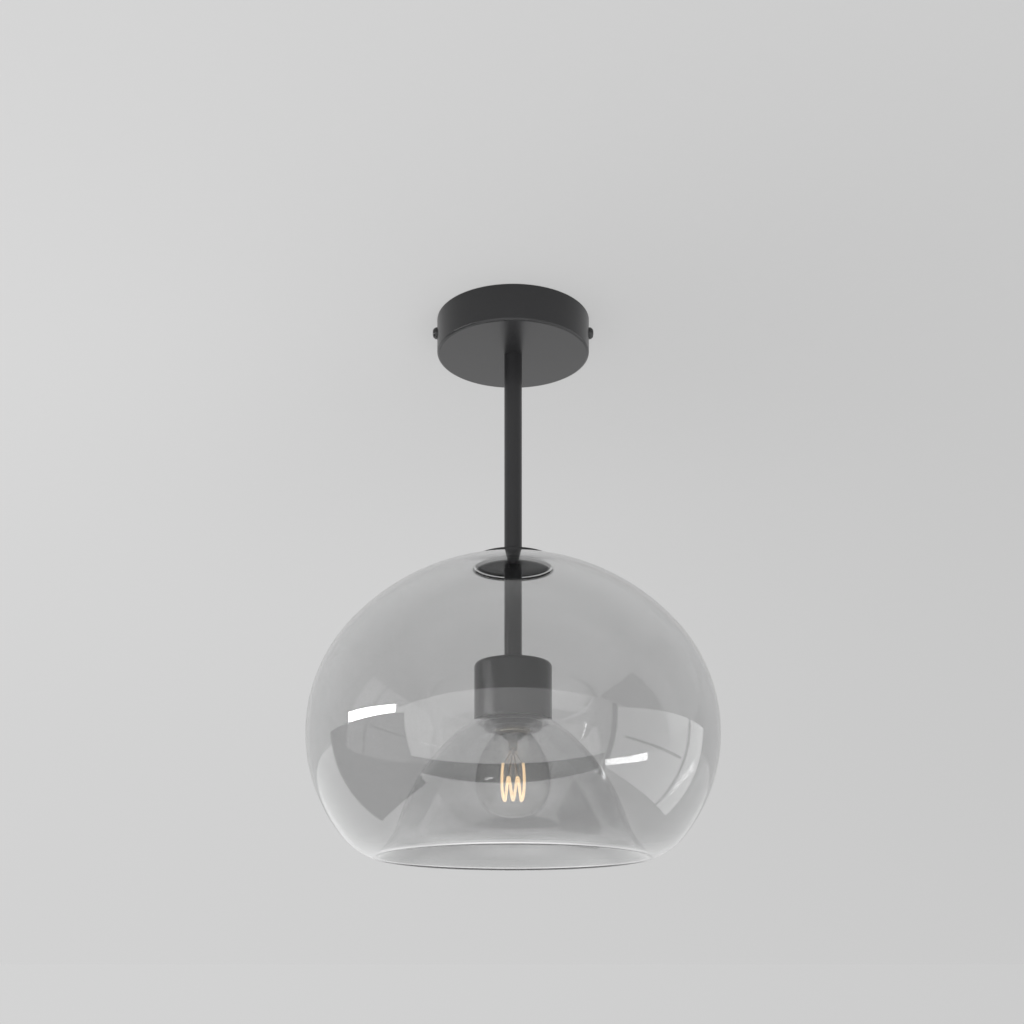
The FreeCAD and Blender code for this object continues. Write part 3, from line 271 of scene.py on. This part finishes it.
def feed(tree, value, socket):
    """Give a socket another node's output or a plain value."""
    if isinstance(value, bpy.types.NodeSocket):
        tree.links.new(value, socket)
    else:
        socket.default_value = value


def feed_named(tree, node, **values):
    """Feed the sockets of a node by name, with underscores for the spaces in it."""
    for label, value in values.items():
        feed(tree, value, node.inputs[label.replace("_", " ")])
    return node


def compute(tree, operation, *values):
    """The result of a sum on plain numbers or other nodes' outputs."""
    node = tree.nodes.new("ShaderNodeMath")
    node.operation = operation
    for socket, value in zip(node.inputs, values):
        feed(tree, value, socket)
    return node.outputs["Value"]


def rescale(tree, value, source, target):
    """A value moved from one range to another and held inside it."""
    node = feed_named(tree, tree.nodes.new("ShaderNodeMapRange"), Value=value,
                      From_Min=source[0], From_Max=source[1], To_Min=target[0], To_Max=target[1])
    return node.outputs["Result"]


def blend(tree, kind, factor, first, second):
    """A mix of two numbers, of kind FLOAT, or of two colours, of kind RGBA."""
    node = tree.nodes.new("ShaderNodeMix")
    node.data_type = kind
    feed_named(tree, node, Factor=factor, A=first, B=second)
    return node.outputs["Result"]


def blend_shaders(tree, factor, first, second):
    node = tree.nodes.new("ShaderNodeMixShader")
    for socket, value in zip(node.inputs, (factor, first, second)):
        feed(tree, value, socket)
    return node.outputs["Shader"]


def coordinates(tree, kind="Object"):
    return tree.nodes.new("ShaderNodeTexCoord").outputs[kind]


def new_group(name, inputs, outputs):
    """An empty group with its inputs as (name, kind, default) and its outputs as (name, kind)."""
    group = bpy.data.node_groups.new(name, "ShaderNodeTree")
    for label, kind, value in inputs:
        socket = group.interface.new_socket(label, in_out="INPUT", socket_type=kind)
        socket.default_value = value
    for label, kind in outputs:
        group.interface.new_socket(label, in_out="OUTPUT", socket_type=kind)
    return group, group.nodes.new("NodeGroupInput").outputs, group.nodes.new("NodeGroupOutput")


def add_noise(tree, place, scale, detail):
    noise = tree.nodes.new("ShaderNodeTexNoise")
    feed_named(tree, noise, Vector=place, Scale=scale, Detail=detail)
    return noise.outputs["Fac"]


def make_grain_group():
    """Fine relief and a mask of its high spots, from noise stretched along the axes."""
    group, given, result = new_group(
        "fine_grain",
        [("Spots", "NodeSocketFloat", 400.0), ("Stretch", "NodeSocketVector", (1.0, 1.0, 1.0)),
         ("Depth", "NodeSocketFloat", 0.00002), ("Contrast", "NodeSocketFloat", 0.5)],
        [("Mask", "NodeSocketFloat"), ("Normal", "NodeSocketVector")])
    stretched = group.nodes.new("ShaderNodeMapping")
    feed_named(group, stretched, Vector=coordinates(group), Scale=given["Stretch"])
    noise = add_noise(group, stretched.outputs["Vector"], given["Spots"], detail=3.0)
    low = compute(group, "MULTIPLY", given["Contrast"], 0.5)
    high = compute(group, "SUBTRACT", 1.0, low)
    relief = group.nodes.new("ShaderNodeBump")
    feed_named(group, relief, Height=noise, Distance=given["Depth"])
    feed_named(group, result, Mask=rescale(group, noise, (low, high), (0.0, 1.0)),
               Normal=relief.outputs["Normal"])
    return group


def make_patches_group():
    """A second tone laid on a colour in large soft patches, as handling and dust leave it."""
    group, given, result = new_group(
        "soft_patches",
        [("Clean", "NodeSocketColor", (0.5, 0.5, 0.5, 1.0)),
         ("Dull", "NodeSocketColor", (0.4, 0.4, 0.4, 1.0)),
         ("Patches", "NodeSocketFloat", 30.0), ("Mask", "NodeSocketFloat", 0.5)],
        [("Color", "NodeSocketColor")])
    noise = add_noise(group, coordinates(group), given["Patches"], detail=2.0)
    patch = compute(group, "MULTIPLY", noise, given["Mask"])
    feed_named(group, result, Color=blend(group, "RGBA", patch, given["Clean"], given["Dull"]))
    return group


for imported in list(bpy.data.materials):
    bpy.data.materials.remove(imported)
GRAIN = make_grain_group()
PATCHES = make_patches_group()


# ---------------------------------------------------------------- finishes

# How soon the glass's painted tint of light and shade sets in as its wall turns edge on.
PAINTED_EDGE_BLEND = 0.25


def new_finish(name):
    material = bpy.data.materials.new(name)
    material.use_nodes = True
    return material, material.node_tree, material.node_tree.nodes["Principled BSDF"]


def opaque(color):
    return (*color, 1.0)


def add_effects(tree, surface, clean, dull, patches, **grain_values):
    """Put both shared effects on a surface: the grain as its relief, and a patchy colour, which
    is returned with the grain's mask."""
    grain = tree.nodes.new("ShaderNodeGroup")
    grain.node_tree = GRAIN
    feed_named(tree, grain, **grain_values)
    tone = tree.nodes.new("ShaderNodeGroup")
    tone.node_tree = PATCHES
    feed_named(tree, tone, Clean=opaque(clean), Dull=opaque(dull), Patches=patches,
               Mask=grain.outputs["Mask"])
    feed_named(tree, surface, Normal=grain.outputs["Normal"])
    return tone.outputs["Color"], grain.outputs["Mask"]


def plain_finish(name, clean, dull, roughness, metallic=0.0, spots=600.0, stretch=(1.0, 1.0, 1.0),
                 depth=0.00001):
    """A finish with fine grain, patches of a second tone and roughness that varies with the grain."""
    _, tree, surface = new_finish(name)
    color, mask = add_effects(tree, surface, clean, dull, patches=40.0,
                              Spots=spots, Stretch=stretch, Depth=depth, Contrast=0.5)
    feed_named(tree, surface, Base_Color=color, Metallic=metallic,
               Roughness=rescale(tree, mask, (0.0, 1.0), roughness))


def glass_finish(name, tint, streak, edge, index, streaks):
    """Smooth clear or smoked glass, with streaks hardly darker than the rest and another tint
    where the wall is seen edge on. That tint is painted light and shade: a lighter painted rim
    on the smoked shade, a darker painted outline on the bulb."""
    _, tree, surface = new_finish(name)
    color, _ = add_effects(tree, surface, tint, streak, patches=streaks,
                           Spots=streaks, Stretch=(1.0, 1.0, 0.6), Depth=0.0, Contrast=0.2)
    slant = feed_named(tree, tree.nodes.new("ShaderNodeLayerWeight"), Blend=PAINTED_EDGE_BLEND)
    # Painted light and shade: the tint that the glass takes where its wall is seen edge on.
    color_and_painted_edge = blend(tree, "RGBA", slant.outputs["Facing"], color, opaque(edge))
    feed_named(tree, surface, Base_Color=color_and_painted_edge, Roughness=0.0, IOR=index, Transmission_Weight=1.0)


def glowing_finish(name, core, shade, strength):
    """The filament's phosphor coat, a little brighter on its high spots."""
    _, tree, surface = new_finish(name)
    color, _ = add_effects(tree, surface, core, shade, patches=900.0,
                           Spots=1500.0, Depth=0.00002, Contrast=0.4)
    feed_named(tree, surface, Base_Color=color, Emission_Color=color, Emission_Strength=strength,
               Roughness=0.6)


# Fine lines round a turned part.
TURNED = (1.0, 1.0, 14.0)
plain_finish("black_metal", (0.013, 0.013, 0.014), (0.020, 0.020, 0.021), (0.27, 0.34), spots=1800.0,
             depth=0.00002)
plain_finish("black_screw", (0.016, 0.016, 0.017), (0.026, 0.026, 0.027), (0.22, 0.34), spots=1200.0)
plain_finish("zinc_steel", (0.62, 0.63, 0.65), (0.50, 0.51, 0.53), (0.24, 0.38), metallic=1.0, spots=500.0)
plain_finish("zinc_screw", (0.66, 0.66, 0.68), (0.52, 0.53, 0.55), (0.22, 0.34), metallic=1.0, stretch=TURNED)
plain_finish("brass", (0.72, 0.56, 0.27), (0.58, 0.43, 0.19), (0.22, 0.34), metallic=1.0, stretch=TURNED)
plain_finish("tinned_copper", (0.74, 0.72, 0.69), (0.60, 0.58, 0.55), (0.28, 0.40), metallic=1.0)
plain_finish("block_plastic", (0.80, 0.80, 0.77), (0.72, 0.72, 0.69), (0.45, 0.58), spots=900.0)
plain_finish("white_plastic", (0.82, 0.82, 0.80), (0.75, 0.75, 0.72), (0.42, 0.55), spots=900.0)
plain_finish("black_plastic", (0.024, 0.024, 0.026), (0.032, 0.032, 0.034), (0.20, 0.32), spots=1200.0)
plain_finish("white_ceramic", (0.82, 0.81, 0.77), (0.76, 0.75, 0.71), (0.12, 0.22), spots=300.0)
plain_finish("silicone", (0.70, 0.70, 0.69), (0.62, 0.62, 0.61), (0.45, 0.60), spots=700.0)
plain_finish("brown_insulation", (0.24, 0.11, 0.055), (0.19, 0.085, 0.04), (0.38, 0.50))
plain_finish("blue_insulation", (0.055, 0.21, 0.58), (0.04, 0.17, 0.48), (0.38, 0.50))
plain_finish("nickel_brass", (0.74, 0.68, 0.54), (0.60, 0.55, 0.43), (0.20, 0.32), metallic=1.0,
             stretch=TURNED)
plain_finish("black_glass", (0.018, 0.018, 0.022), (0.028, 0.028, 0.032), (0.08, 0.16), spots=300.0)
plain_finish("solder", (0.62, 0.62, 0.62), (0.48, 0.48, 0.48), (0.36, 0.52), metallic=1.0, spots=1500.0)
plain_finish("nickel_wire", (0.60, 0.58, 0.55), (0.48, 0.46, 0.43), (0.25, 0.38), metallic=1.0)
plain_finish("green_yellow_insulation", (0.10, 0.42, 0.10), (0.08, 0.34, 0.08), (0.38, 0.50))
# The smoked glass gets a lighter painted rim where seen edge on, the bulb a darker painted outline.
glass_finish("smoked_glass", (0.740, 0.740, 0.740), (0.725, 0.725, 0.725), (0.94, 0.95, 0.95),
             index=1.6, streaks=9.0)
glass_finish("clear_glass", (0.945, 0.945, 0.94), (0.935, 0.935, 0.93), (0.62, 0.62, 0.61),
             index=1.5, streaks=40.0)
glowing_finish("glowing_filament", (1.0, 0.76, 0.49), (1.0, 0.69, 0.40), strength=1.7)

for subpart in frame["record"]["subparts"]:
    node = nodes[subpart["node"]]
    node.data.materials.clear()
    node.data.materials.append(bpy.data.materials[subpart["material_slot"]])

dress(make_shade(), "root", "smoked_glass", "glass_shade")
dress(make_bulb(), "bulb", "clear_glass", "bulb_glass")
dress(make_filament(), "bulb", "glowing_filament", "bulb_filament")


# ---------------------------------------------------------------- room, light and camera

CEILING_GAP = mm(0.5)
CEILING_FRONT = 1.2
CEILING_BACK = 30.0
CEILING_PAINT = 0.72
CEILING_DUST = 0.985
BACKDROP_TONE = 0.630
# Painted light: the backdrop and the ceiling's paint get a little darker from left to right.
PAINTED_LIGHT_FALL = 0.075
EVEN_SHARE = 0.66
WALL_GLOW = 0.85
FRONT_GLOW = 1.45
FLOOR_GLOW = 1.35
SIDE_FALL = 0.28
# Parts of a direction: how far down the floor passes into the walls, and how far to the front
# the side walls pass into the front one.
FLOOR_EDGE = (-0.80, -0.62)
FRONT_EDGE = (-0.2, -0.8)
ROOM_MIDDLE = Vector((0.0, 0.0, -0.32))

LAMP_PLACE = Vector((0.9, -1.5, -1.5))
LAMP_TARGET = Vector((0.15, -0.3, 0.0))
LAMP_WIDTH = 1.2
LAMP_POWER = 14.0

# What the photo's reflections show round the light, seen from the shade: name, azimuths and
# rises in degrees, distance in metres, and glow.
ROOM_PANELS = [
    ("left_strip", (-93.0, -61.0), (4.8, 9.4), 1.4, 22.0),
    ("right_window", (53.0, 121.0), (-32.0, 8.5), 2.0, 1.5),
    ("left_flag", (-112.0, -57.0), (-41.0, 5.0), 2.0, 0.10),
    ("front_strip", (-57.5, 50.0), (-44.0, -31.5), 1.0, 0.03),
    ("window_post", (104.0, 106.0), (-32.0, 8.5), 1.9, 0.5),
    ("window_edge", (51.0, 54.0), (-33.0, 9.0), 1.9, 0.3),
    ("window_sash", (60.0, 102.0), (-10.0, -8.6), 1.9, 0.6),
]


def seen_rays(tree):
    """1 for rays that carry a picture: straight from the camera, mirrored or through glass."""
    path = tree.nodes.new("ShaderNodeLightPath").outputs
    straight_or_mirrored = compute(tree, "MAXIMUM", path["Is Camera Ray"], path["Is Glossy Ray"])
    return compute(tree, "MAXIMUM", straight_or_mirrored, path["Is Transmission Ray"])


def straight_rays(tree):
    """1 for rays straight from the camera, or through glass with no mirroring on the way."""
    path = tree.nodes.new("ShaderNodeLightPath").outputs
    bends = compute(tree, "ADD", path["Glossy Depth"], path["Diffuse Depth"])
    through = compute(tree, "GREATER_THAN", path["Is Transmission Ray"], bends)
    return compute(tree, "MAXIMUM", path["Is Camera Ray"], through)


def backdrop_with_painted_fall(tree, sideways):
    """The backdrop's tone, with painted light: it falls off a little from left to right."""
    return compute(tree, "MULTIPLY_ADD", sideways, -PAINTED_LIGHT_FALL, BACKDROP_TONE)


def split_vector(tree, vector):
    return feed_named(tree, tree.nodes.new("ShaderNodeSeparateXYZ"), Vector=vector).outputs


def direction_from_light(tree):
    """The direction of a point of the ceiling from the middle of the room."""
    offset = tree.nodes.new("ShaderNodeVectorMath")
    offset.operation = "SUBTRACT"
    feed(tree, coordinates(tree), offset.inputs[0])
    feed(tree, ROOM_MIDDLE, offset.inputs[1])
    unit = tree.nodes.new("ShaderNodeVectorMath")
    unit.operation = "NORMALIZE"
    feed(tree, offset.outputs["Vector"], unit.inputs[0])
    return split_vector(tree, unit.outputs["Vector"])


def show(tree, shader):
    tree.links.new(shader, tree.nodes["Material Output"].inputs["Surface"])


def clear_shader(tree):
    return tree.nodes.new("ShaderNodeBsdfTransparent").outputs["BSDF"]


def make_ceiling():
    """The ceiling that the light hangs from. It is seen from below only, and it shows
    part of its tone evenly, so that the backdrop stays plain and keeps the shadow. Its paint and
    that even glow carry a painted fall of light, a little darker from left to right."""
    shape = bmesh.new()
    bmesh.ops.create_grid(shape, x_segments=1, y_segments=1, size=1.0)
    bmesh.ops.reverse_faces(shape, faces=shape.faces)
    depth = CEILING_FRONT + CEILING_BACK
    bmesh.ops.scale(shape, vec=(CEILING_BACK, depth / 2, 1.0), verts=shape.verts)
    bmesh.ops.translate(shape, vec=(0.0, depth / 2 - CEILING_FRONT, CEILING_GAP), verts=shape.verts)
    ceiling = finish_mesh("ceiling_plaster", shape)
    material, tree, surface = new_finish("ceiling_paint")
    clean = (CEILING_PAINT,) * 3
    dusty = (CEILING_PAINT * CEILING_DUST,) * 3
    paint, _ = add_effects(tree, surface, clean, dusty, patches=2.0,
                           Spots=60.0, Depth=0.0001, Contrast=0.5)
    # Painted light: the paint and the even glow get a little darker from left to right.
    level = backdrop_with_painted_fall(tree, direction_from_light(tree)["X"])
    paint_with_painted_fall = tree.nodes.new("ShaderNodeVectorMath")
    paint_with_painted_fall.operation = "SCALE"
    feed_named(tree, paint_with_painted_fall, Vector=paint, Scale=level)
    feed_named(tree, surface, Base_Color=paint_with_painted_fall.outputs["Vector"], Roughness=0.9)
    even = feed_named(tree, tree.nodes.new("ShaderNodeEmission"), Strength=level)
    share = compute(tree, "MULTIPLY", seen_rays(tree), EVEN_SHARE)
    lit = blend_shaders(tree, share, surface.outputs["BSDF"], even.outputs["Emission"])
    above = tree.nodes.new("ShaderNodeNewGeometry").outputs["Backfacing"]
    show(tree, blend_shaders(tree, above, lit, clear_shader(tree)))
    ceiling.data.materials.append(material)


def direction(azimuth):
    """A level direction from the light, 0 towards the photographer and 90 to the right."""
    turn = math.radians(azimuth)
    return Vector((math.sin(turn), -math.cos(turn), 0.0))


def make_soft_lamp():
    """A large soft lamp that lifts the ceiling in front of the light and shows in no reflection."""
    bulb = bpy.data.lights.new("soft_front", "AREA")
    bulb.size = LAMP_WIDTH
    bulb.energy = LAMP_POWER
    lamp = bpy.data.objects.new("soft_front", bulb)
    bpy.context.scene.collection.objects.link(lamp)
    lamp.location = LAMP_PLACE
    lamp.rotation_euler = (LAMP_TARGET - LAMP_PLACE).to_track_quat("-Z", "Y").to_euler()
    lamp.visible_camera = False
    lamp.visible_glossy = False
    lamp.visible_transmission = False


def make_panel(name, azimuths, rises, distance, glow):
    """An upright panel of an even glow that fills those angles, seen from the shade. Only
    mirrored light shows it, as a photographer's flag or softbox in a reflection: it is clear
    to the camera, to light and shadow, and to what is seen straight through the glass."""
    azimuth = (azimuths[0] + azimuths[1]) / 2
    low, high = (distance * math.tan(math.radians(rise)) for rise in rises)
    width = 2 * distance * math.tan(math.radians(azimuths[1] - azimuths[0]) / 2)
    centre = ROOM_MIDDLE + direction(azimuth) * distance + Vector((0.0, 0.0, (low + high) / 2))
    shape = bmesh.new()
    bmesh.ops.create_grid(shape, x_segments=1, y_segments=1, size=0.5)
    bmesh.ops.scale(shape, vec=(width, high - low, 1.0), verts=shape.verts)
    turn = (-direction(azimuth)).to_track_quat("Z", "Y").to_matrix()
    bmesh.ops.rotate(shape, cent=(0, 0, 0), matrix=turn, verts=shape.verts)
    bmesh.ops.translate(shape, vec=centre, verts=shape.verts)
    panel = finish_mesh(name, shape)
    material, tree, surface = new_finish(name + "_cloth")
    feed_named(tree, surface, Base_Color=opaque((0.0, 0.0, 0.0)), Specular_IOR_Level=0.0,
               Emission_Color=opaque((1.0, 1.0, 1.0)), Emission_Strength=glow)
    path = tree.nodes.new("ShaderNodeLightPath").outputs
    mirrored = compute(tree, "GREATER_THAN", path["Glossy Depth"], 0.5)
    show(tree, blend_shaders(tree, mirrored, clear_shader(tree), surface.outputs["BSDF"]))
    panel.data.materials.append(material)
    panel.visible_camera = False
    panel.visible_diffuse = False
    panel.visible_shadow = False


def light_world():
    """Walls of an even glow over a brighter floor, brightest in front and on the left. Seen
    straight or through glass the room is plain, but for a painted fall of light from left to right."""
    world = bpy.data.worlds.new("room_light")
    bpy.context.scene.world = world
    world.use_nodes = True
    tree = world.node_tree
    aim = split_vector(tree, coordinates(tree, "Generated"))
    walls = rescale(tree, aim["Z"], FLOOR_EDGE, (FLOOR_GLOW, WALL_GLOW))
    front = rescale(tree, aim["Y"], FRONT_EDGE, (1.0, FRONT_GLOW / WALL_GLOW))
    sides = compute(tree, "MULTIPLY_ADD", aim["X"], -SIDE_FALL, 1.0)
    room = compute(tree, "MULTIPLY", compute(tree, "MULTIPLY", walls, front), sides)
    # Straight or through glass: the backdrop, with its painted fall of light from left to right.
    glow = blend(tree, "FLOAT", straight_rays(tree), room, backdrop_with_painted_fall(tree, aim["X"]))
    feed_named(tree, tree.nodes["Background"], Color=opaque((1.0, 1.0, 1.0)), Strength=glow)


# The photo in pixels, and the camera that took it.
PHOTO_WIDTH = 1024
PHOTO_FOCAL = 1394
PHOTO_AXIS_COLUMN = 513.1
PHOTO_LEVEL_ROW = 988
SENSOR = 36.0
NEAREST_SEEN = mm(10.0)
CAMERA_PLACE = (0.0, -1.1046, -0.5277)


def place_camera():
    """A level camera in front of the light, shifted up as the photo is."""
    lens = bpy.data.cameras.new("photo_camera")
    camera = bpy.data.objects.new("photo_camera", lens)
    bpy.context.scene.collection.objects.link(camera)
    bpy.context.scene.camera = camera
    lens.sensor_width = SENSOR
    lens.lens = PHOTO_FOCAL / PHOTO_WIDTH * SENSOR
    lens.shift_x = -(PHOTO_AXIS_COLUMN - PHOTO_WIDTH / 2) / PHOTO_WIDTH
    lens.shift_y = (PHOTO_LEVEL_ROW - PHOTO_WIDTH / 2) / PHOTO_WIDTH
    lens.clip_start = NEAREST_SEEN
    camera.location = CAMERA_PLACE
    camera.rotation_euler = (math.pi / 2, 0.0, 0.0)


make_ceiling()
light_world()
make_soft_lamp()
for panel_facts in ROOM_PANELS:
    make_panel(*panel_facts)
place_camera()
bpy.context.scene.view_settings.view_transform = "Standard"
